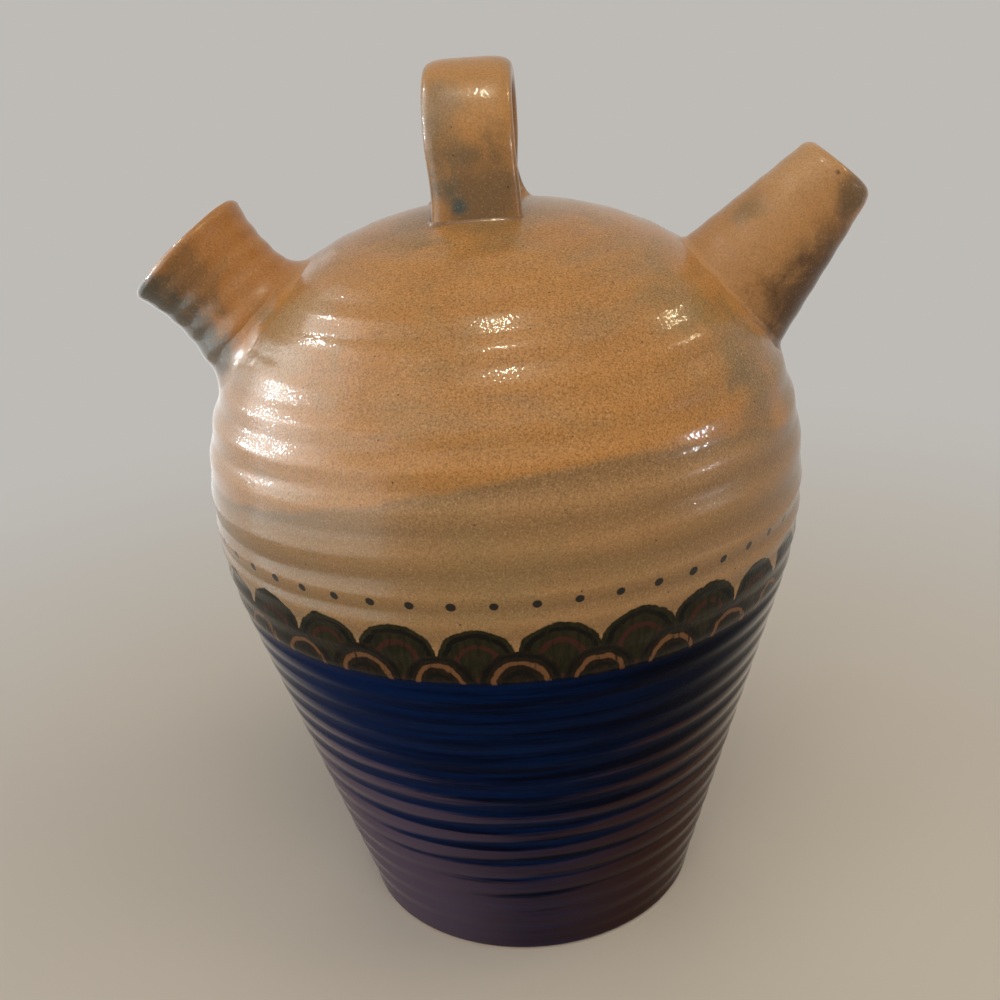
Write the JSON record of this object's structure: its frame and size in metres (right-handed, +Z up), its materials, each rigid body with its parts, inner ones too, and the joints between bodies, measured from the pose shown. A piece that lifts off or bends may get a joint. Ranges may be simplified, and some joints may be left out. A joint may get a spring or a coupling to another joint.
{
  "type": "water jug",
  "caption": "Round-shouldered glazed stoneware water jug with a flared filling mouth, a tapering pouring spout and a strap handle arched over the top.",
  "frame": {"origin": "centre of the flat foot, on the surface that the jug stands on", "axes": "+Z up the jug's axis, +X towards the pouring spout, so the filling mouth is at -X; -Y is the front and the strap handle arches from front to back"},
  "size_m": [0.2293, 0.196, 0.286],
  "materials": {
    "sand_glaze": "gloss",
    "blue_glaze": "gloss",
    "raw_clay": "matt"
  },
  "bodies": {
    "root": {"lower_body": "blue_glaze", "shoulder_dome": "sand_glaze", "seam_coil": "raw_clay", "filler_mouth": "sand_glaze", "filler_weld": "sand_glaze", "pouring_spout": "sand_glaze", "spout_weld": "sand_glaze", "strap_handle": "sand_glaze", "handle_front_weld": "sand_glaze", "handle_rear_weld": "sand_glaze"}
  },
  "joints": []
}
